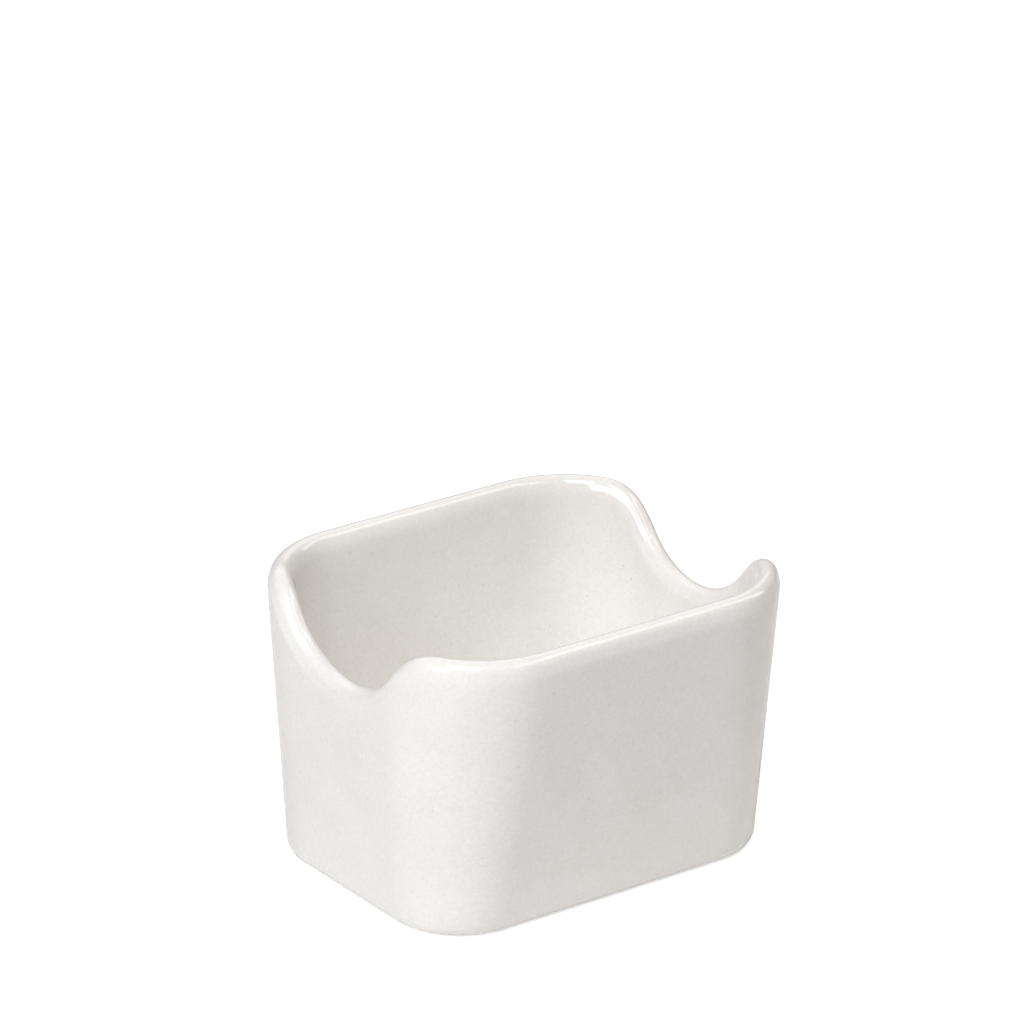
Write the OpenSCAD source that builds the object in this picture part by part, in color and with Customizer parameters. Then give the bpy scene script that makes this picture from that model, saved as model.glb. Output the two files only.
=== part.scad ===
// A porcelain holder for sugar packets: a leaning box with round corners, a round rim and
// one finger dip in each end wall. The fired body is bare at its foot and glazed elsewhere.
// It stands on Z = 0 and is centred on the Z axis, with its long walls along X.

/* [Box] */
// Length across the end walls, measured at the height of the rim
box_length = 96.4; // [80:0.2:125]
// Width across the long walls, measured at the height of the rim
box_width = 81.7; // [68:0.1:105]
// Height from the table to the top of the rim
box_height = 63; // [48:1:80]
// Outward lean of the two end walls, in degrees
end_lean = 3.6; // [0:0.1:5]
// Outward lean of the two long walls, in degrees
side_lean = 7.5; // [3:0.1:9]
// Plan radius of the outer corners, at the rim
rim_corner_r = 25; // [18:0.5:28]
// Plan radius of the outer corners, at the foot
foot_corner_r = 15.7; // [13:0.1:20]

/* [Wall and floor] */
// Thickness of the walls and of the round rim, glaze included
wall_t = 5.6; // [4:0.1:7]
// Thickness of the floor above the recess, glaze included
floor_t = 5; // [3:0.1:8]
// Radius between wall and floor, inside the pocket
pocket_fillet_r = 7; // [3:0.5:9]

/* [Finger dips] */
// Depth of the dips below the rim
dip_depth = 15; // [8:0.2:18]
// Width of the dips, measured along the wall from shoulder to shoulder
dip_width = 57.4; // [48:0.2:66]
// Radius of the crest at the bottom of the dips
dip_floor_r = 21; // [12:0.1:24]
// Radius of the crest at the shoulders of the dips
dip_shoulder_r = 12.8; // [8:0.1:16]

/* [Foot] */
// Radius of the outer edge between wall and foot
foot_edge_r = 3.5; // [2:0.1:5]
// Width of the flat ring that meets the table
foot_ring_w = 5; // [3:0.1:7]
// Depth of the recess inside the foot ring
recess_depth = 1.2; // [0.8:0.1:2]
// Width of the sloped edge of the recess
recess_slope_w = 1; // [0.5:0.1:2]

/* [Glaze] */
// Thickness of the glaze
glaze_t = 0.3; // [0.2:0.05:0.5]
// Height of the glaze's lower edge above the table
bare_foot_h = 0.5; // [0.3:0.1:1]
// Bare border between the slope of the recess and the glaze inside it
bare_border_w = 0.6; // [0.3:0.1:2]

/* [Facets] */
// Steps along the straight of each end wall
end_steps = 12; // [8:1:14]
// Steps round each corner
corner_steps = 16; // [10:1:18]
// Steps along the straight of each long wall
side_steps = 3; // [1:1:6]
// Steps over the round rim
rim_steps = 10; // [6:1:12]
// Steps of the pocket's fillet
fillet_steps = 4; // [3:1:6]
// Steps of the foot's edge, glazed part
foot_steps = 3; // [2:1:5]
// Steps of the foot's edge, bare part
bare_steps = 2; // [1:1:3]

/* [Hidden] */

body_colour = [0.90, 0.88, 0.84];
glaze_colour = [0.95, 0.94, 0.92];

rim_r = wall_t / 2;
floor_z = recess_depth + floor_t;
foot_edge_z = foot_edge_r - glaze_t;
overrun = recess_depth;

// Growth of the corner's plan radius for each millimetre of height
corner_flare = (rim_corner_r - foot_corner_r) / box_height;

// The pocket's fillet stays smaller than the corner that it runs round
fillet_share = 0.85;
pocket_r = min(pocket_fillet_r, fillet_share * (foot_corner_r - wall_t));

// The rim's centre line through a dip: a floor arc, a straight flank and a shoulder arc.
// Both arcs shrink alike where the dip is too narrow or too deep for them.
half_dip = dip_width / 2;
wanted_floor_r = dip_floor_r + rim_r;
wanted_shoulder_r = dip_shoulder_r - rim_r;
wanted_bends_r = wanted_floor_r + wanted_shoulder_r;
bend_limit_share = 0.98;
widest_bends_r = bend_limit_share * (pow(half_dip, 2) + pow(dip_depth, 2)) / (2 * dip_depth);
bend_share = min(1, widest_bends_r / wanted_bends_r);
line_floor_r = bend_share * wanted_floor_r;
line_shoulder_r = bend_share * wanted_shoulder_r;
bends_r = line_floor_r + line_shoulder_r;
flank_l = sqrt(pow(half_dip, 2) + pow(dip_depth - bends_r, 2) - pow(bends_r, 2));
flank_angle = atan2(dip_depth - bends_r, half_dip) + atan2(bends_r, flank_l);
flank_start = line_floor_r * sin(flank_angle);
flank_end = flank_start + flank_l * cos(flank_angle);

// Plan position of the corners' centres and their radius at height z
function corner_x(z) = box_length / 2 - (box_height - z) * tan(end_lean) - corner_r(z);
function corner_y(z) = box_width / 2 - (box_height - z) * tan(side_lean) - corner_r(z);
function corner_r(z) = foot_corner_r + corner_flare * z;

// One column of points for each place round the box: the signs of the corner centre's x and y,
// the outward direction in degrees, and the run along the wall from the middle of the end.
straight_run = corner_y(box_height);
corner_run = (rim_corner_r - rim_r) * PI / 2;
end_columns = [
    for (i = [0:end_steps - 1])
        let (share = 2 * i / end_steps - 1)
        [1, share, 0, share * straight_run]
];
first_corner_columns = [
    for (i = [0:corner_steps - 1])
        let (share = i / corner_steps)
        [1, 1, 90 * share, straight_run + share * corner_run]
];
side_columns = [
    for (i = [0:side_steps - 1])
        [1 - 2 * i / side_steps, 1, 90, straight_run + corner_run]
];
second_corner_columns = [
    for (i = [0:corner_steps - 1])
        let (share = i / corner_steps)
        [-1, 1, 90 + 90 * share, -straight_run - (1 - share) * corner_run]
];
half_columns = concat(end_columns, first_corner_columns, side_columns, second_corner_columns);
columns = concat(half_columns, [for (c = half_columns) [-c[0], -c[1], c[2] + 180, c[3]]]);

// Lean of the wall at a column, in degrees
function wall_lean(c) = atan(
    (tan(end_lean) - corner_flare) * abs(cos(c[2]))
    + (tan(side_lean) - corner_flare) * abs(sin(c[2]))
    + corner_flare
);

// The point of a column at height z, moved inwards by inset, then by a plan step and a rise
function wall_point(c, z, inset, out = 0, rise = 0) = [
    c[0] * corner_x(z) + (corner_r(z) - inset + out) * cos(c[2]),
    c[1] * corner_y(z) + (corner_r(z) - inset + out) * sin(c[2]),
    z + rise
];

// A point on an arc whose centre lies the given depth behind the outer wall at height z
function arc_point(c, z, depth, r, angle) =
    wall_point(c, z, depth / cos(wall_lean(c)), r * cos(angle), r * sin(angle));

// Height of the rim's centre line above the bottom of the dip, and its slope, at run s
function dip_rise(s) =
    s < flank_start ? line_floor_r - sqrt(pow(line_floor_r, 2) - pow(s, 2))
    : s < flank_end ? line_floor_r * (1 - cos(flank_angle)) + (s - flank_start) * tan(flank_angle)
    : s < half_dip ? dip_depth - line_shoulder_r
        + sqrt(pow(line_shoulder_r, 2) - pow(half_dip - s, 2))
    : dip_depth;
function dip_slope(s) =
    s < flank_start ? s / sqrt(pow(line_floor_r, 2) - pow(s, 2))
    : s < flank_end ? tan(flank_angle)
    : s < half_dip ? (half_dip - s) / sqrt(pow(line_shoulder_r, 2) - pow(half_dip - s, 2))
    : 0;
function rim_z(c) = box_height - rim_r - dip_depth + dip_rise(abs(c[3]));
function rim_slope(c) = sign(c[3]) * dip_slope(abs(c[3]));

// A point on the round rim, at radius r and at an angle from the outer wall to the inner one
function rim_point(c, r, angle) =
    let (
        lean = wall_lean(c),
        out = [cos(lean) * cos(c[2]), cos(lean) * sin(c[2]), -sin(lean)],
        up = [sin(lean) * cos(c[2]), sin(lean) * sin(c[2]), cos(lean)],
        along = [-sin(c[2]), cos(c[2]), 0],
        slope = rim_slope(c) / cos(lean),
        crown = (up - slope * along) / sqrt(1 + pow(slope, 2))
    )
    wall_point(c, rim_z(c), rim_r / cos(lean)) + r * (cos(angle) * out + sin(angle) * crown);

// Rows of points from the glaze line up the wall, over the rim and down to the pocket's floor,
// at a depth below the glazed surface
glaze_line_angle = -asin((foot_edge_z - bare_foot_h) / foot_edge_r);
function blend(from, to, share) = from + share * (to - from);
function glazed_rows(below) = concat(
    [for (i = [0:foot_steps]) [for (c = columns) arc_point(c, foot_edge_z, foot_edge_r,
        foot_edge_r - below, blend(glaze_line_angle, -wall_lean(c), i / foot_steps))]],
    [for (i = [0:rim_steps]) [for (c = columns) rim_point(c, rim_r - below,
        180 * i / rim_steps)]],
    [for (i = [0:fillet_steps]) [for (c = columns) arc_point(c, floor_z + pocket_r,
        wall_t + pocket_r, pocket_r + below, blend(-wall_lean(c), -90, i / fillet_steps))]]
);

// Rows of the bare foot's edge, from the flat ring up to the glaze line
function bare_rows() = [
    for (i = [0:bare_steps - 1])
        [for (c = columns) arc_point(c, foot_edge_z, foot_edge_r, foot_edge_r - glaze_t,
            blend(-90, glaze_line_angle, i / bare_steps))]
];

// A level row under the foot, at height z and moved inwards from the ring's outer edge
function foot_row(z, inset) = [
    for (c = columns)
        wall_point(c, foot_edge_z, foot_edge_r / cos(wall_lean(c)) + inset, 0, z - foot_edge_z)
];

function backwards(rows) = [for (i = [len(rows) - 1:-1:0]) rows[i]];

// The two triangles between two columns of two rows, split on the shorter diagonal
function patch(points, a, b, c, d) =
    norm(points[a] - points[c]) < norm(points[b] - points[d])
        ? [[a, c, b], [a, d, c]]
        : [[a, d, b], [b, d, c]];

// A closed solid through rows of points, with a flat cap about the Z axis at each end
module lofted(rows) {
    n = len(rows[0]);
    last = (len(rows) - 1) * n;
    first_centre = len(rows) * n;
    last_centre = first_centre + 1;
    centres = [for (row = [rows[0], rows[len(rows) - 1]]) [0, 0, row[0].z]];
    points = concat([for (row = rows) each row], centres);
    sides = [
        for (i = [0:len(rows) - 2], j = [0:n - 1])
            let (k = (j + 1) % n)
            each patch(points, i * n + j, i * n + k, (i + 1) * n + k, (i + 1) * n + j)
    ];
    first_cap = [for (j = [0:n - 1]) [j, (j + 1) % n, first_centre]];
    last_cap = [for (j = [0:n - 1]) [last + (j + 1) % n, last + j, last_centre]];
    polyhedron(points, concat(sides, first_cap, last_cap), convexity = 6);
}

module recess() {
    lofted([
        foot_row(-overrun, foot_ring_w - recess_slope_w * overrun / recess_depth),
        foot_row(recess_depth, foot_ring_w + recess_slope_w)
    ]);
}

module porcelain_body() {
    color(body_colour)
    difference() {
        lofted(concat(bare_rows(), glazed_rows(glaze_t)));
        recess();
    }
}

module glaze_coat() {
    color(glaze_colour)
    lofted(concat(backwards(glazed_rows(glaze_t)), glazed_rows(0)));
}

module underside_glaze() {
    border = foot_ring_w + recess_slope_w + bare_border_w;
    color(glaze_colour)
    lofted([foot_row(recess_depth - glaze_t, border), foot_row(recess_depth, border)]);
}

porcelain_body();
glaze_coat();
underside_glaze();
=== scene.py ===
"""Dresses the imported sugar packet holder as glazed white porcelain, in a pale studio.

The holder is a leaning box with round corners, a round rim and a finger dip in each end wall.
One quarter of it is modelled and mirrored twice. A section of the wall is drawn as a line of
runs and arcs, spun round the corner, and drawn out along the end wall and the long wall. The
finger dip is then pressed into the quarter, and its walls are leaned to their drafts.
"""

import logging
import math
from abc import ABC, abstractmethod
from dataclasses import dataclass
from enum import Enum, IntEnum
from typing import Any, Iterable

import bmesh
import bpy
from bmesh.types import BMEdge, BMesh, BMVert
from mathutils import Matrix, Vector


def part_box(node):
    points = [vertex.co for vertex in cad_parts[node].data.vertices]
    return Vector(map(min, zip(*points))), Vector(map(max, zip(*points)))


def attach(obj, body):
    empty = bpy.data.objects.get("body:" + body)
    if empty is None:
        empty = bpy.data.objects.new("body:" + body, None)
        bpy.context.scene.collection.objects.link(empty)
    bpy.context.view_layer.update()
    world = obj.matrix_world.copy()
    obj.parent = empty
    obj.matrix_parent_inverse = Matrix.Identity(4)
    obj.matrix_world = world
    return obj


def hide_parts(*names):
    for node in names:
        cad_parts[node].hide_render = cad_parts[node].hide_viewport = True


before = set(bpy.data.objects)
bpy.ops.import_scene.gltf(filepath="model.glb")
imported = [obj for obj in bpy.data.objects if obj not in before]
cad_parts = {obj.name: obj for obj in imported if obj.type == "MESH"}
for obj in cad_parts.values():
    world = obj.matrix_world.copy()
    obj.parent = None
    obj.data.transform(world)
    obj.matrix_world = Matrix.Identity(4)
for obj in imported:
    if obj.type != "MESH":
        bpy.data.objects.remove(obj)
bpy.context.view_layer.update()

LOG = logging.getLogger("sugar_packet_holder")
MM = 0.001
WELD_GAP = 0.002 * MM
ROUND_PROFILE = 0.5
QUARTER_TURN = 90.0
HOLDER_MIDDLE = Vector((0.0, 0.0, 31.6 * MM))
COLOUR_MIX_INPUTS = (6, 7)
COLOUR_MIX_OUTPUT = 2

Triple = tuple[float, float, float]


class Slot(Enum):
    """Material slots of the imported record."""

    BISCUIT = "biscuit"
    GLAZE = "glaze"


class Way(IntEnum):
    """A way along the table, as the number of its coordinate."""

    X = 0
    Y = 1


class Rounding(Enum):
    """What a bevel rounds off: the edges of a surface or the bends of a line."""

    EDGES = "EDGES"
    BENDS = "VERTICES"


class Link:
    """An output of a shader node that can be used in sums, products and differences."""

    def __init__(self, graph: "ShaderGraph", socket: bpy.types.NodeSocket) -> None:
        """Keeps the socket and the graph that new Math nodes go into.

        Args:
            graph: The graph that holds the socket.
            socket: The output socket.
        """
        self.graph = graph
        self.socket = socket

    def _math(self, operation: str, first: "Link | float", second: "Link | float") -> "Link":
        """Adds a Math node.

        Args:
            operation: The node's operation.
            first: Left operand.
            second: Right operand.

        Returns:
            The node's result.
        """
        return self.graph.node("ShaderNodeMath", {"operation": operation}, {0: first, 1: second})

    def __add__(self, other: "Link | float") -> "Link":
        """Sum of this value and another."""
        return self._math("ADD", self, other)

    __radd__ = __add__

    def __mul__(self, other: "Link | float") -> "Link":
        """Product of this value and another."""
        return self._math("MULTIPLY", self, other)

    __rmul__ = __mul__

    def __sub__(self, other: "Link | float") -> "Link":
        """This value less another."""
        return self._math("SUBTRACT", self, other)

    def __rsub__(self, other: "Link | float") -> "Link":
        """Another value less this one."""
        return self._math("SUBTRACT", other, self)


class ShaderGraph:
    """A node tree that is built one node at a time."""

    def __init__(self, tree: bpy.types.NodeTree) -> None:
        """Empties a node tree.

        Args:
            tree: The tree of a material or a world.
        """
        self.tree = tree
        tree.nodes.clear()

    def node(
        self,
        kind: str,
        settings: dict[str, Any] | None = None,
        inputs: dict[int | str, Any] | None = None,
        output: int | str = 0,
    ) -> Link:
        """Adds a node, sets it up and joins it to what feeds it.

        Args:
            kind: The node's type.
            settings: Its properties, and under "stops" the places and values of a ramp's stops.
            inputs: Values or links of its sockets, by name or number.
            output: The output that is wanted.

        Returns:
            The wanted output.
        """
        made = self.tree.nodes.new(kind)
        for name, value in (settings or {}).items():
            if name == "stops":
                self._set_stops(made.color_ramp, value)
            else:
                setattr(made, name, value)
        for name, value in (inputs or {}).items():
            if isinstance(value, Link):
                self.tree.links.new(value.socket, made.inputs[name])
            else:
                made.inputs[name].default_value = value
        return Link(self, made.outputs[output])

    @staticmethod
    def _set_stops(ramp: bpy.types.ColorRamp, stops: Iterable[tuple[float, float]]) -> None:
        """Gives a grey ramp its two or more stops.

        Args:
            ramp: The ramp of a Color Ramp node.
            stops: Place and grey value of each stop, in order.
        """
        stops = list(stops)
        while len(ramp.elements) < len(stops):
            ramp.elements.new(1.0)
        for element, (place, value) in zip(ramp.elements, stops):
            element.position = place
            element.color = (value, value, value, 1.0)

    def end(self, kind: str, surface: Link) -> None:
        """Adds the output node.

        Args:
            kind: The type of the output node.
            surface: The shader that it shows.
        """
        made = self.tree.nodes.new(kind)
        self.tree.links.new(surface.socket, made.inputs["Surface"])

    def noise(
        self, place: Link, size: float, detail: float = 2.0, fineness: float = 0.5
    ) -> Link:
        """Adds a smooth noise.

        Args:
            place: The coordinates that it reads, in metres.
            size: Rough size of its patches, in metres.
            detail: Octaves of finer noise.
            fineness: Weight of the finer noise.

        Returns:
            The noise, about 0.5 on average.
        """
        inputs = {"Vector": place, "Scale": 1.0 / size, "Detail": detail, "Roughness": fineness}
        return self.node("ShaderNodeTexNoise", {}, inputs, "Fac")

    def ramp(self, value: Link, *stops: tuple[float, float]) -> Link:
        """Adds a grey ramp over a value.

        Args:
            value: The value that the ramp reads.
            *stops: Place and grey value of each stop, in order.

        Returns:
            The grey value.
        """
        return self.node("ShaderNodeValToRGB", {"stops": stops}, {"Fac": value})

    def dots(self, place: Link, spacing: float, radius: float) -> Link:
        """Adds small round dots, scattered in space, so that a surface cuts some of them.

        Args:
            place: The coordinates that they are scattered in, in metres.
            spacing: Rough distance between their centres, in metres.
            radius: Their radius, in metres.

        Returns:
            1 at the centre of a dot, falling to 0 at its edge.
        """
        distance = self.node(
            "ShaderNodeTexVoronoi", {}, {"Vector": place, "Scale": 1.0 / spacing}, "Distance"
        )
        return self.ramp(distance, (0.0, 1.0), (radius / spacing, 0.0))

    def tint(self, share: Link, first: "Link | Triple", second: "Link | Triple") -> Link:
        """Adds a mix of two colours.

        Args:
            share: Share of the second colour.
            first: First colour.
            second: Second colour.

        Returns:
            The mixed colour.
        """
        inputs: dict[int | str, Any] = {"Factor": share}
        for socket, colour in zip(COLOUR_MIX_INPUTS, (first, second)):
            inputs[socket] = colour if isinstance(colour, Link) else (*colour, 1.0)
        return self.node("ShaderNodeMix", {"data_type": "RGBA"}, inputs, COLOUR_MIX_OUTPUT)

    def seen(self, mirrored: float) -> Link:
        """Adds a value that is above 0 for rays that show the background, not for those that light.

        Args:
            mirrored: The value for glossy rays.

        Returns:
            1 for camera and transmission rays, the given value for glossy rays, or else 0.
        """
        rays = {"Is Camera Ray": 1.0, "Is Transmission Ray": 1.0, "Is Glossy Ray": mirrored}
        first, *others = (
            self.node("ShaderNodeLightPath", output=kind) * share for kind, share in rays.items()
        )
        for other in others:
            first = first + other
        return self.node("ShaderNodeClamp", {}, {"Value": first})

    def bump(self, height: Link, depth: float, under: Link | None = None) -> Link:
        """Adds a bump.

        Args:
            height: Height of the surface, from 0 to 1.
            depth: Height in metres that 1 stands for.
            under: Normal of a bump that lies below this one.

        Returns:
            The bumped normal.
        """
        inputs: dict[int | str, Any] = {"Height": height, "Distance": depth, "Strength": 1.0}
        if under is not None:
            inputs["Normal"] = under
        return self.node("ShaderNodeBump", {}, inputs)


class Finish(ABC):
    """A finish that makes its own material."""

    label: str

    @abstractmethod
    def surface(self, graph: ShaderGraph) -> Link:
        """Adds the finish's nodes.

        Args:
            graph: The material's graph.

        Returns:
            The shader.
        """

    def material(self) -> bpy.types.Material:
        """Makes the material.

        Returns:
            The new material.
        """
        made = bpy.data.materials.new(self.label)
        made.use_nodes = True
        graph = ShaderGraph(made.node_tree)
        graph.end("ShaderNodeOutputMaterial", self.surface(graph))
        return made


@dataclass(frozen=True)
class GlazeFinish(Finish):
    """Clear gloss over a warm white body, with a faint mottle and a few pinholes."""

    label: str = "porcelain_glaze"
    colour: Triple = (0.93, 0.913, 0.892)
    mottle_colour: Triple = (0.855, 0.836, 0.811)
    speck_colour: Triple = (0.71, 0.68, 0.63)
    roughness: float = 0.02
    roughness_swing: float = 0.04
    refraction: float = 1.55
    mottle_size: float = 0.7 * MM
    mottle_detail: float = 3.0
    mottle_fineness: float = 0.65
    mottle_share: float = 0.7
    mottle_start: float = 0.35
    mottle_end: float = 0.65
    cloud_size: float = 14.0 * MM
    wave_size: float = 9.0 * MM
    speck_spacing: float = 4.9 * MM
    speck_radius: float = 0.35 * MM
    eggshell_depth: float = 0.0015 * MM
    wave_depth: float = 0.02 * MM
    pinhole_depth: float = 0.01 * MM

    def surface(self, graph: ShaderGraph) -> Link:
        """Adds the glaze's nodes.

        Args:
            graph: The material's graph.

        Returns:
            The shader.
        """
        place = graph.node("ShaderNodeTexCoord", output="Object")
        mottle = graph.noise(place, self.mottle_size, self.mottle_detail, self.mottle_fineness)
        cloud = graph.noise(place, self.cloud_size)
        wave = graph.noise(place, self.wave_size, detail=0.0)
        specks = graph.dots(place, self.speck_spacing, self.speck_radius)
        patches = self.mottle_share * mottle + (1.0 - self.mottle_share) * cloud
        share = graph.ramp(patches, (self.mottle_start, 0.0), (self.mottle_end, 1.0))
        colour = graph.tint(share, self.colour, self.mottle_colour)
        waved = graph.bump(wave, self.wave_depth)
        grained = graph.bump(mottle, self.eggshell_depth, waved)
        return graph.node(
            "ShaderNodeBsdfPrincipled",
            {},
            {
                "Base Color": graph.tint(specks, colour, self.speck_colour),
                "Roughness": self.roughness + self.roughness_swing * cloud,
                "IOR": self.refraction,
                "Normal": graph.bump(1.0 - specks, self.pinhole_depth, grained),
            },
        )


@dataclass(frozen=True)
class BiscuitFinish(Finish):
    """The bare fired clay of the foot: matte, finely grained and a little darker."""

    label: str = "bare_biscuit"
    colour: Triple = (0.74, 0.70, 0.64)
    grain_colour: Triple = (0.66, 0.61, 0.54)
    roughness: float = 0.78
    roughness_swing: float = 0.2
    grain_size: float = 0.35 * MM
    grain_detail: float = 4.0
    grain_fineness: float = 0.6
    grain_depth: float = 0.012 * MM

    def surface(self, graph: ShaderGraph) -> Link:
        """Adds the biscuit's nodes.

        Args:
            graph: The material's graph.

        Returns:
            The shader.
        """
        place = graph.node("ShaderNodeTexCoord", output="Object")
        grain = graph.noise(place, self.grain_size, self.grain_detail, self.grain_fineness)
        return graph.node(
            "ShaderNodeBsdfPrincipled",
            {},
            {
                "Base Color": graph.tint(grain, self.colour, self.grain_colour),
                "Roughness": self.roughness + self.roughness_swing * grain,
                "Normal": graph.bump(grain, self.grain_depth),
            },
        )


@dataclass(frozen=True)
class TableFinish(Finish):
    """A white table top that keeps the shadow near the holder and shows white further away."""

    label: str = "white_table"
    colour: Triple = (0.93, 0.93, 0.93)
    near_glow: float = 0.6
    far_glow: float = 1.0
    far: float = 0.45
    mirrored: float = 0.2

    def surface(self, graph: ShaderGraph) -> Link:
        """Adds the table's nodes.

        Args:
            graph: The material's graph.

        Returns:
            The shader.
        """
        place = graph.node("ShaderNodeTexCoord", output="Object")
        away = graph.node("ShaderNodeVectorMath", {"operation": "LENGTH"}, {0: place}, "Value")
        glow = graph.ramp(away * (1.0 / self.far), (0.0, self.near_glow), (1.0, self.far_glow))
        paint = graph.node("ShaderNodeBsdfDiffuse", {}, {"Color": (*self.colour, 1.0)})
        light = graph.node("ShaderNodeEmission", {}, {"Color": glow * graph.seen(self.mirrored)})
        return graph.node("ShaderNodeAddShader", {}, {0: paint, 1: light})


@dataclass(frozen=True)
class HolderForm:
    """Sizes of the holder, in metres and degrees.

    At every height its plan is a rectangle with round corners. The sides and the corner radius
    grow evenly with height, so each corner is a leaning cone.
    """

    length: float = 96.4 * MM
    width: float = 81.7 * MM
    height: float = 63.0 * MM
    end_lean: float = 3.6
    side_lean: float = 7.5
    rim_corner: float = 25.0 * MM
    foot_corner: float = 15.7 * MM
    wall: float = 5.6 * MM
    rim_side: float = 7.0 * MM
    rim_side_turn: float = 26.0
    floor: float = 5.0 * MM
    pocket_fillet: float = 7.0 * MM
    foot_edge: float = 3.5 * MM
    foot_ring: float = 5.0 * MM
    recess: float = 1.2 * MM
    recess_slope: float = 1.0 * MM
    recess_round: float = 0.4 * MM
    glaze: float = 0.3 * MM
    glaze_edge: float = 0.21 * MM
    island_edge: float = 0.24 * MM
    bare_foot: float = 0.5 * MM
    bare_border: float = 0.6 * MM

    @property
    def flare(self) -> float:
        """Growth of the corner's radius for each metre of height."""
        return (self.rim_corner - self.foot_corner) / self.height

    @property
    def lean(self) -> float:
        """Lean of the corner's cone before the walls get their drafts, in radians."""
        return math.atan(self.flare)

    @property
    def half_wall(self) -> float:
        """Half the thickness of the wall."""
        return self.wall / 2.0

    @property
    def crown(self) -> float:
        """Radius of the rim's crown, between two flatter arcs that end along the wall."""
        turn = math.radians(self.rim_side_turn)
        return self.rim_side + (self.half_wall - self.rim_side) / math.cos(turn)

    @property
    def crown_height(self) -> float:
        """Height of the crown's centre line outside the dips."""
        return self.height - self.crown

    @property
    def floor_height(self) -> float:
        """Height of the pocket's floor."""
        return self.recess + self.floor

    @property
    def foot_edge_height(self) -> float:
        """Height of the centre of the foot's round edge."""
        return self.foot_edge - self.glaze

    def corner_radius(self, height: float, depth: float = 0.0) -> float:
        """Distance of the wall from the corner's axis.

        Args:
            height: Height above the table.
            depth: Depth below the outer face, square to it.

        Returns:
            The distance.
        """
        return self.foot_corner + self.flare * height - depth / math.cos(self.lean)

    def corner_axis(self, height: float) -> tuple[float, float]:
        """Place of the corner's axis at a height.

        Args:
            height: Height above the table.

        Returns:
            Its distances from the box's two middle planes.
        """
        below = self.height - height
        radius = self.corner_radius(height)
        return (
            self.length / 2.0 - below * math.tan(math.radians(self.end_lean)) - radius,
            self.width / 2.0 - below * math.tan(math.radians(self.side_lean)) - radius,
        )


@dataclass(frozen=True)
class FingerDip:
    """The curve of the rim through a finger dip: a floor arc, a flank and a shoulder arc."""

    crown: float
    depth: float = 15.0 * MM
    width: float = 57.4 * MM
    floor_radius: float = 21.0 * MM
    shoulder_radius: float = 12.8 * MM

    @property
    def low_arc(self) -> float:
        """Radius of the crown's centre line at the bottom of the dip."""
        return self.floor_radius + self.crown

    @property
    def high_arc(self) -> float:
        """Radius of the crown's centre line at a shoulder of the dip."""
        return self.shoulder_radius - self.crown

    @property
    def flank_angle(self) -> float:
        """Slope of the straight flank, in radians."""
        half, arcs = self.width / 2.0, self.low_arc + self.high_arc
        rest = self.depth - arcs
        flank = math.sqrt(half * half + rest * rest - arcs * arcs)
        return math.atan2(rest, half) + math.atan2(arcs, flank)

    def drop_and_slope(self, run: float) -> tuple[float, float]:
        """Drop of the rim below its full height, and its slope.

        Args:
            run: Distance from the middle of the dip, along the wall.

        Returns:
            The drop and the slope.
        """
        half, angle = self.width / 2.0, self.flank_angle
        flank_start = self.low_arc * math.sin(angle)
        flank_end = half - self.high_arc * math.sin(angle)
        if run >= half:
            return 0.0, 0.0
        if run > flank_end:
            fall = math.sqrt(self.high_arc**2 - (half - run) ** 2)
            return self.high_arc - fall, (half - run) / fall
        if run > flank_start:
            rise = self.low_arc * (1.0 - math.cos(angle)) + (run - flank_start) * math.tan(angle)
            return self.depth - rise, math.tan(angle)
        fall = math.sqrt(self.low_arc**2 - run * run)
        return self.depth - self.low_arc + fall, run / fall


class SectionPen:
    """Draws a section of the wall, in the plane of a corner, as runs and arcs."""

    def __init__(self, mesh: BMesh, out: float, up: float) -> None:
        """Sets the pen down.

        Args:
            mesh: The mesh that the line goes into.
            out: Distance of the first point from the corner's axis.
            up: Height of the first point.
        """
        self.mesh = mesh
        self.tip = mesh.verts.new((out, 0.0, up))

    def run(self, out: float, up: float, steps: int = 1) -> None:
        """Draws a straight run.

        Args:
            out: Distance of its end from the corner's axis.
            up: Height of its end.
            steps: Number of edges.
        """
        step = (Vector((out, 0.0, up)) - self.tip.co) / steps
        for _ in range(steps):
            made = bmesh.ops.extrude_vert_indiv(self.mesh, verts=[self.tip])
            self.tip = made["verts"][0]
            bmesh.ops.translate(self.mesh, verts=[self.tip], vec=step)

    def turn(self, out: float, up: float, degrees: float, steps: int) -> None:
        """Draws an arc from the pen's place.

        Args:
            out: Distance of its centre from the corner's axis.
            up: Height of its centre.
            degrees: Angle that it turns by, positive from outwards to upwards.
            steps: Number of edges.
        """
        made = bmesh.ops.spin(
            self.mesh,
            geom=[self.tip],
            cent=(out, 0.0, up),
            axis=(0.0, -1.0, 0.0),
            angle=math.radians(degrees),
            steps=steps,
        )
        self.tip = next(part for part in made["geom_last"] if isinstance(part, BMVert))


@dataclass(frozen=True)
class Facets:
    """Numbers of steps of the modelled surface."""

    corner: int = 28
    end: int = 26
    side: int = 10
    wall: int = 14
    rim_side: int = 7
    crown: int = 16
    fillet: int = 10
    foot_edge: int = 8
    small: int = 3


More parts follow.
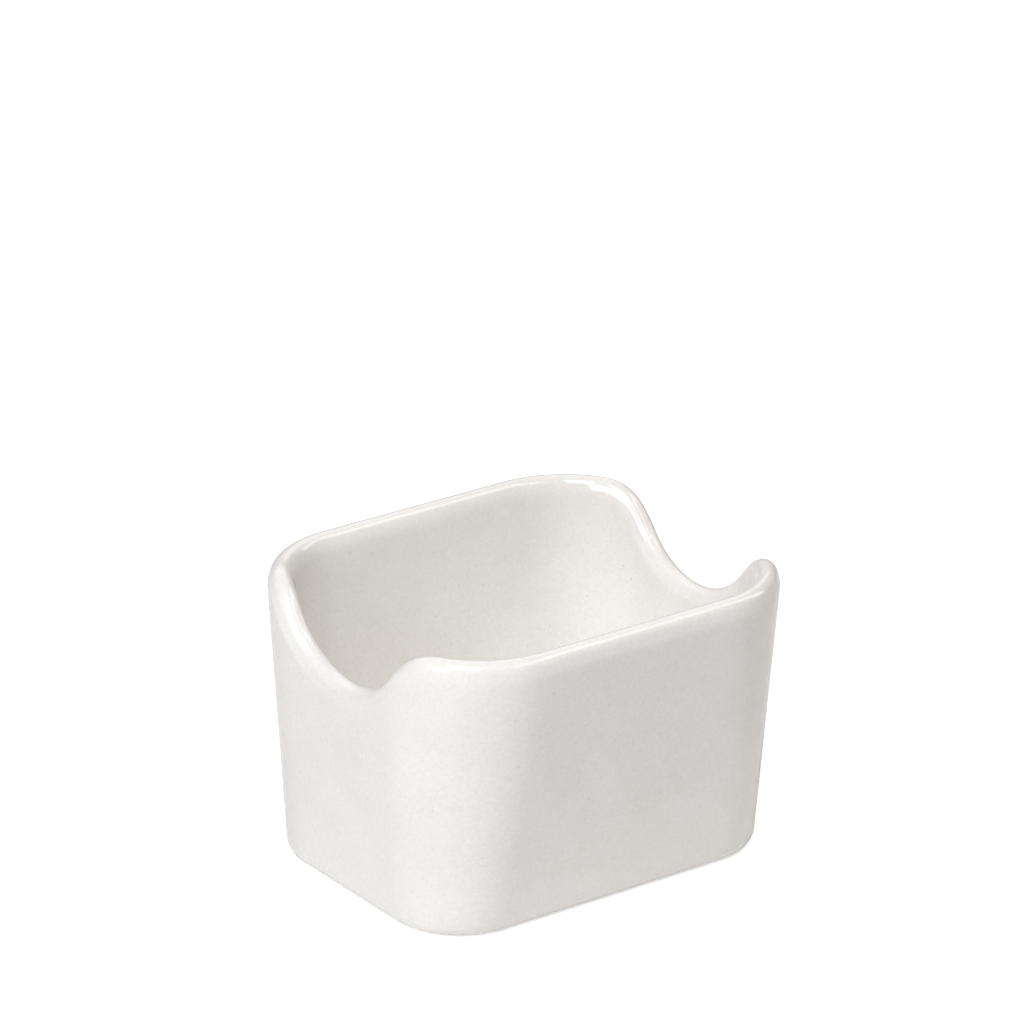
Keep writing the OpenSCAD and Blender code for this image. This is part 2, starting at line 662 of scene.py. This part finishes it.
@dataclass(frozen=True)
class HolderPart(ABC):
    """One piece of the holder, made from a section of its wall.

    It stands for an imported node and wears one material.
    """

    node: str
    slot: Slot
    form: HolderForm
    dip: FingerDip
    facets: Facets

    @abstractmethod
    def draw_section(self, mesh: BMesh) -> None:
        """Draws the section in the plane y = 0, with the corner's axis at the origin.

        Args:
            mesh: An empty mesh.
        """

    def thicken(self, mesh: BMesh) -> None:
        """Gives a piece that is a skin its thickness. A closed piece has none to get.

        Args:
            mesh: The whole piece.
        """

    def build(self) -> bpy.types.Object:
        """Models the piece.

        Returns:
            The new object.
        """
        mesh = bmesh.new()
        self.draw_section(mesh)
        self._draw_out(mesh)
        self._press_dip(mesh)
        self._lean_walls(mesh)
        self._mirror(mesh)
        self.thicken(mesh)
        self._seat(mesh)
        for face in mesh.faces:
            face.smooth = True
        data = bpy.data.meshes.new(self.node)
        mesh.to_mesh(data)
        mesh.free()
        piece = bpy.data.objects.new(f"{self.node}_dressed", data)
        bpy.context.scene.collection.objects.link(piece)
        return piece

    def dress(self, piece: bpy.types.Object, material: bpy.types.Material) -> None:
        """Gives the piece its material and its place in the frame.

        Args:
            piece: The piece's object.
            material: Its material.
        """
        piece.data.materials.append(material)
        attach(piece, "root")
        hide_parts(self.node)
        LOG.info("%s: %d faces", piece.name, len(piece.data.polygons))

    def _draw_out(self, mesh: BMesh) -> None:
        """Spins the section round the corner and draws it out to the box's middle planes.

        Args:
            mesh: The mesh that holds the section.
        """
        first = mesh.edges[:]
        across, along = self.form.corner_axis(self.form.height)
        spun = bmesh.ops.spin(
            mesh,
            geom=mesh.verts[:] + first,
            cent=(0.0, 0.0, 0.0),
            axis=(0.0, 0.0, 1.0),
            angle=math.pi / 2.0,
            steps=self.facets.corner,
        )
        last = [part for part in spun["geom_last"] if isinstance(part, BMEdge)]
        bmesh.ops.translate(mesh, verts=mesh.verts[:], vec=(across, along, 0.0))
        self._extrude_to_middle(mesh, last, Way.X, self.facets.side)
        inner_edges = self._extrude_to_middle(mesh, first, Way.Y, self.facets.end)
        axis_edges = [edge for edge in inner_edges if self._on_axis(edge, across)]
        self._extrude_to_middle(mesh, axis_edges, Way.X, self.facets.side)

    @staticmethod
    def _on_axis(edge: BMEdge, across: float) -> bool:
        """Whether an edge of the end wall's grid lies on the corner's axis line."""
        return all(abs(vert.co.x - across) < WELD_GAP for vert in edge.verts)

    @staticmethod
    def _extrude_to_middle(
        mesh: BMesh, edges: list[BMEdge], way: Way, steps: int
    ) -> list[BMEdge]:
        """Extrudes edges in even steps up to a middle plane of the box.

        Args:
            mesh: The mesh that holds them.
            edges: The edges.
            way: The way to draw them out along.
            steps: Number of steps.

        Returns:
            The edges that run along the way.
        """
        runs: list[BMEdge] = []
        for left in range(steps, 0, -1):
            made = bmesh.ops.extrude_edge_only(mesh, edges=edges)["geom"]
            edges = [part for part in made if isinstance(part, BMEdge)]
            verts = [part for part in made if isinstance(part, BMVert)]
            factor = [1.0, 1.0, 1.0]
            factor[way] = (left - 1) / left
            bmesh.ops.scale(mesh, verts=verts, vec=factor)
            kept = set(verts)
            runs += [
                edge
                for vert in verts
                for edge in vert.link_edges
                if edge.other_vert(vert) not in kept
            ]
        return runs

    def _press_dip(self, mesh: BMesh) -> None:
        """Lowers the end wall's rim along the curve of the finger dip.

        A point of the wall slides down the wall. The crown keeps its section square to the
        curve, so what stands above its centre line tips over with the slope.

        Args:
            mesh: The quarter, with plumb corner axes.
        """
        form = self.form
        across, along = form.corner_axis(form.height)
        crown_out = form.corner_radius(form.crown_height, form.half_wall)
        low = form.floor_height + form.pocket_fillet
        wall_length = (form.crown_height - low) / math.cos(form.lean)
        lean_sin, lean_cos = math.sin(form.lean), math.cos(form.lean)
        for vert in mesh.verts:
            east, north, up = vert.co.x - across, vert.co.y - along, vert.co.z
            if east <= WELD_GAP:
                continue
            turn = math.atan2(north, east) if north > 0.0 else 0.0
            radius = math.hypot(east, north) if north > 0.0 else east
            run = min(vert.co.y, along) + turn * (form.rim_corner - form.half_wall)
            drop, slope = self.dip.drop_and_slope(run)
            if drop == 0.0:
                continue
            aside, over = radius - crown_out, up - form.crown_height
            side = aside * lean_cos - over * lean_sin
            rise = aside * lean_sin + over * lean_cos
            slide = min(max(1.0 + rise / wall_length, 0.0), 1.0)
            above = max(rise, 0.0)
            tip = math.hypot(1.0, slope / lean_cos)
            rise += above / tip - above - slide * drop / lean_cos
            sideways = -above * slope / lean_cos / tip
            radius = crown_out + side * lean_cos + rise * lean_sin
            outwards = Vector((math.cos(turn), math.sin(turn), 0.0))
            onwards = Vector((-math.sin(turn), math.cos(turn), 0.0))
            base = Vector((across, min(vert.co.y, along), 0.0))
            vert.co = base + radius * outwards + sideways * onwards
            vert.co.z = form.crown_height - side * lean_sin + rise * lean_cos

    def _lean_walls(self, mesh: BMesh) -> None:
        """Squeezes each level of the quarter, so that its walls lean by their drafts.

        Args:
            mesh: The quarter, with plumb corner axes.
        """
        full = self.form.corner_axis(self.form.height)
        for vert in mesh.verts:
            here = self.form.corner_axis(vert.co.z)
            for way in Way:
                straight = min(vert.co[way], full[way])
                vert.co[way] += straight * (here[way] / full[way] - 1.0)

    @staticmethod
    def _mirror(mesh: BMesh) -> None:
        """Mirrors the quarter to the whole piece, welds it and turns its faces outwards.

        Args:
            mesh: The quarter.
        """
        for way in Way:
            bmesh.ops.mirror(
                mesh,
                geom=mesh.verts[:] + mesh.edges[:] + mesh.faces[:],
                matrix=Matrix.Identity(4),
                merge_dist=WELD_GAP,
                axis=way.name,
            )
        bmesh.ops.remove_doubles(mesh, verts=mesh.verts[:], dist=WELD_GAP)
        bmesh.ops.dissolve_degenerate(mesh, edges=mesh.edges[:], dist=WELD_GAP)
        bmesh.ops.recalc_face_normals(mesh, faces=mesh.faces[:])

    def _round_off(
        self, mesh: BMesh, parts: list[BMEdge] | list[BMVert], reach: float, what: Rounding
    ) -> None:
        """Rounds off edges of a surface or bends of a line.

        Args:
            mesh: The mesh that holds them.
            parts: The edges or the bends.
            reach: Distance that the rounding reaches to each side.
            what: Whether they are edges or bends.
        """
        bmesh.ops.bevel(
            mesh,
            geom=parts,
            offset=reach,
            offset_type="OFFSET",
            segments=self.facets.small,
            profile=ROUND_PROFILE,
            affect=what.value,
            material=-1,
        )

    def _seat(self, mesh: BMesh) -> None:
        """Fits the piece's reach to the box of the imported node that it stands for.

        Args:
            mesh: The whole piece.
        """
        _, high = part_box(self.node)
        reach = [max(vert.co[way] for vert in mesh.verts) for way in range(3)]
        factor = [high[way] / reach[way] for way in range(3)]
        LOG.info("%s: fitted by %s", self.node, [round(part, 5) for part in factor])
        bmesh.ops.scale(mesh, verts=mesh.verts[:], vec=factor)


@dataclass(frozen=True)
class WallSection:
    """The wall's section from the foot to the pocket's floor, at a depth below the glaze."""

    form: HolderForm
    facets: Facets
    below: float

    @property
    def glaze_line(self) -> float:
        """Angle of the glaze's lower edge on the foot's round edge, in degrees."""
        form = self.form
        sine = (form.bare_foot - form.foot_edge_height) / form.foot_edge
        return math.degrees(math.asin(sine))

    def foot_point(self, degrees: float) -> tuple[float, float]:
        """A point on the foot's round edge.

        Args:
            degrees: Its direction from the edge's centre, 0 for outwards.

        Returns:
            Its distance from the corner's axis, and its height.
        """
        form = self.form
        radius, angle = form.foot_edge - self.below, math.radians(degrees)
        out = form.corner_radius(form.foot_edge_height, form.foot_edge)
        return out + radius * math.cos(angle), form.foot_edge_height + radius * math.sin(angle)

    def draw(self, pen: SectionPen, start: float) -> None:
        """Draws the section from the foot's round edge to the corner's axis in the floor.

        Args:
            pen: The pen, set down on the foot's round edge.
            start: Direction of its place from the edge's centre, in degrees.
        """
        form, facets = self.form, self.facets
        lean = math.degrees(form.lean)
        out = form.corner_radius(form.foot_edge_height, form.foot_edge)
        pen.turn(out, form.foot_edge_height, -lean - start, facets.foot_edge)
        self._draw_rim(pen)
        low = form.floor_height + form.pocket_fillet
        out = form.corner_radius(low, form.wall + form.pocket_fillet)
        pen.run(*self._beside((out, low), form.pocket_fillet + self.below), facets.wall)
        pen.turn(out, low, lean - QUARTER_TURN, facets.fillet)
        pen.run(0.0, form.floor_height - self.below)

    def _draw_rim(self, pen: SectionPen) -> None:
        """Draws the outer face and the rim: a flat arc, the crown and another flat arc.

        Args:
            pen: The pen, at the upper end of the foot's round edge.
        """
        form, facets = self.form, self.facets
        centre_out = form.corner_radius(form.crown_height, form.half_wall)
        crown = (centre_out, form.crown_height)
        turn, shift = form.rim_side_turn, form.crown - form.rim_side
        outer = self._beside(crown, shift, turn)
        inner = self._beside(crown, shift, 180.0 - turn)
        pen.run(*self._beside(outer, form.rim_side - self.below), facets.wall)
        pen.turn(*outer, turn, facets.rim_side)
        pen.turn(*crown, 180.0 - 2.0 * turn, facets.crown)
        pen.turn(*inner, turn, facets.rim_side)

    def _beside(
        self, start: tuple[float, float], distance: float, degrees: float = 0.0
    ) -> tuple[float, float]:
        """A point at a distance from another.

        Args:
            start: Distance of the other point from the corner's axis, and its height.
            distance: The distance.
            degrees: The direction, 0 for square to the outer face and 90 for up along it.

        Returns:
            Distance from the corner's axis, and height.
        """
        angle = math.radians(degrees) - self.form.lean
        return start[0] + distance * math.cos(angle), start[1] + distance * math.sin(angle)


class GlazeCoat(HolderPart):
    """The glaze: a thin glassy coat with a soft lower edge just above the table."""

    def draw_section(self, mesh: BMesh) -> None:
        """Draws the glazed face, from the glaze line to the pocket's floor.

        Args:
            mesh: An empty mesh.
        """
        section = WallSection(self.form, self.facets, 0.0)
        pen = SectionPen(mesh, *section.foot_point(section.glaze_line))
        section.draw(pen, section.glaze_line)

    def thicken(self, mesh: BMesh) -> None:
        """Gives the glaze its thickness and rounds its lower edge.

        Args:
            mesh: The glazed face.
        """
        edge = [part for part in mesh.edges if part.is_boundary]
        bmesh.ops.solidify(mesh, geom=mesh.faces[:], thickness=self.form.glaze)
        self._round_off(mesh, edge, self.form.glaze_edge, Rounding.EDGES)


class PorcelainBody(HolderPart):
    """The fired body, bare at its foot."""

    def draw_section(self, mesh: BMesh) -> None:
        """Draws the body's face, from under the floor round the foot and up into the pocket.

        Args:
            mesh: An empty mesh.
        """
        form = self.form
        section = WallSection(form, self.facets, form.glaze)
        ring_out, _ = section.foot_point(-QUARTER_TURN)
        ring_in = ring_out - form.foot_ring
        pen = SectionPen(mesh, 0.0, form.recess)
        pen.run(ring_in - form.recess_slope, form.recess)
        first_bend = pen.tip
        pen.run(ring_in, 0.0)
        second_bend = pen.tip
        pen.run(ring_out, 0.0)
        section.draw(pen, -QUARTER_TURN)
        for bend in (first_bend, second_bend):
            self._round_off(mesh, [bend], form.recess_round, Rounding.BENDS)


class UndersideGlaze(HolderPart):
    """The island of glaze inside the foot ring."""

    def draw_section(self, mesh: BMesh) -> None:
        """Draws the island's section, with a soft lower edge.

        Args:
            mesh: An empty mesh.
        """
        form = self.form
        section = WallSection(form, self.facets, form.glaze)
        ring_out, _ = section.foot_point(-QUARTER_TURN)
        edge = ring_out - form.foot_ring - form.recess_slope - form.bare_border
        soft = form.island_edge
        low = form.recess - form.glaze
        pen = SectionPen(mesh, 0.0, low)
        pen.run(edge - soft, low)
        pen.turn(edge - soft, low + soft, QUARTER_TURN, self.facets.small)
        pen.run(edge, form.recess)
        pen.run(0.0, form.recess)


def direction(azimuth: float, elevation: float) -> Vector:
    """The direction from the holder towards a camera or a lamp.

    Args:
        azimuth: 0 in front of the long wall and 90 on the side of +X, in degrees.
        elevation: Angle above the table, in degrees.

    Returns:
        A unit vector.
    """
    a, e = math.radians(azimuth), math.radians(elevation)
    return Vector((math.sin(a) * math.cos(e), -math.cos(a) * math.cos(e), math.sin(e)))


@dataclass(frozen=True)
class Softbox:
    """A rectangular lamp that faces the holder."""

    label: str
    azimuth: float
    elevation: float
    distance: float
    width: float
    height: float
    power: float
    colour: Triple = (1.0, 1.0, 1.0)

    def place(self) -> None:
        """Adds the lamp to the scene."""
        lamp = bpy.data.lights.new(self.label, "AREA")
        lamp.shape = "RECTANGLE"
        lamp.size, lamp.size_y = self.width, self.height
        lamp.energy = self.power
        lamp.color = self.colour
        made = bpy.data.objects.new(self.label, lamp)
        back = direction(self.azimuth, self.elevation)
        made.location = HOLDER_MIDDLE + back * self.distance
        made.rotation_mode = "QUATERNION"
        made.rotation_quaternion = back.to_track_quat("Z", "Y")
        bpy.context.scene.collection.objects.link(made)


@dataclass(frozen=True)
class Viewpoint:
    """The camera, as found from the outlines in the photograph.

    The aim is the pixel at which the middle of the holder shows.
    """

    azimuth: float = -36.57
    elevation: float = 22.98
    roll: float = 0.64
    distance: float = 1.365
    aim: tuple[float, float] = (522.5, 703.6)
    picture: float = 1024.0
    pixels_per_metre: float = 4815.0
    sensor: float = 36.0

    def place(self) -> None:
        """Adds the camera to the scene and looks through it."""
        data = bpy.data.cameras.new("camera")
        data.sensor_width = self.sensor
        data.lens = self.sensor * self.pixels_per_metre * self.distance / self.picture
        made = bpy.data.objects.new("camera", data)
        turn = Matrix.Rotation(math.radians(self.roll), 4, "Z")
        facing = direction(self.azimuth, self.elevation).to_track_quat("Z", "Y")
        made.matrix_world = facing.to_matrix().to_4x4() @ turn
        centre = self.picture / 2.0
        aside = Vector((centre - self.aim[0], self.aim[1] - centre, 0.0)) / self.pixels_per_metre
        aside.z = self.distance
        made.matrix_world.translation = HOLDER_MIDDLE + made.matrix_world.to_3x3() @ aside
        bpy.context.scene.collection.objects.link(made)
        bpy.context.scene.camera = made


class Studio:
    """The table, the lamps, the world and the camera."""

    table_size = 8.0
    mirrored = 0.4
    lamps = (
        Softbox("key_softbox", -55.0, 57.0, 0.9, 0.4, 0.4, 5.3, (0.97, 0.98, 1.0)),
        Softbox("side_softbox", -76.0, 28.0, 1.5, 0.6, 0.6, 6.3, (1.0, 0.985, 0.97)),
        Softbox("fill_softbox", 80.0, 40.0, 0.8, 0.16, 0.58, 1.0, (1.0, 0.92, 0.8)),
        Softbox("top_softbox", 36.0, 58.0, 0.8, 0.5, 0.16, 0.85, (1.0, 0.93, 0.84)),
        Softbox("back_softbox", 155.0, 42.0, 1.1, 1.2, 0.6, 2.2),
    )

    def build(self) -> None:
        """Adds everything that isn't the holder."""
        self._table()
        self._world()
        for lamp in self.lamps:
            lamp.place()
        Viewpoint().place()
        bpy.context.scene.view_settings.view_transform = "Standard"

    def _table(self) -> None:
        """Adds the table top."""
        mesh = bmesh.new()
        bmesh.ops.create_grid(mesh, x_segments=1, y_segments=1, size=self.table_size / 2.0)
        data = bpy.data.meshes.new("table_top")
        mesh.to_mesh(data)
        mesh.free()
        table = bpy.data.objects.new("table_top", data)
        data.materials.append(TableFinish().material())
        bpy.context.scene.collection.objects.link(table)

    def _world(self) -> None:
        """Makes the world: white to the camera, pale grey in the glaze, and no light by itself."""
        world = bpy.data.worlds.new("studio")
        bpy.context.scene.world = world
        world.use_nodes = True
        graph = ShaderGraph(world.node_tree)
        light = {"Color": graph.seen(self.mirrored)}
        graph.end("ShaderNodeOutputWorld", graph.node("ShaderNodeBackground", {}, light))


def main() -> None:
    """Builds the studio and the holder's pieces, in order."""
    logging.basicConfig(level=logging.INFO, format="%(name)s: %(message)s")
    Studio().build()
    form, facets = HolderForm(), Facets()
    dip = FingerDip(form.crown)
    glaze, biscuit = GlazeFinish().material(), BiscuitFinish().material()
    parts = (
        (PorcelainBody("porcelain_body", Slot.BISCUIT, form, dip, facets), biscuit),
        (GlazeCoat("glaze_coat", Slot.GLAZE, form, dip, facets), glaze),
        (UndersideGlaze("underside_glaze", Slot.GLAZE, form, dip, facets), glaze),
    )
    for part, material in parts:
        part.dress(part.build(), material)


if __name__ == "__main__":
    main()
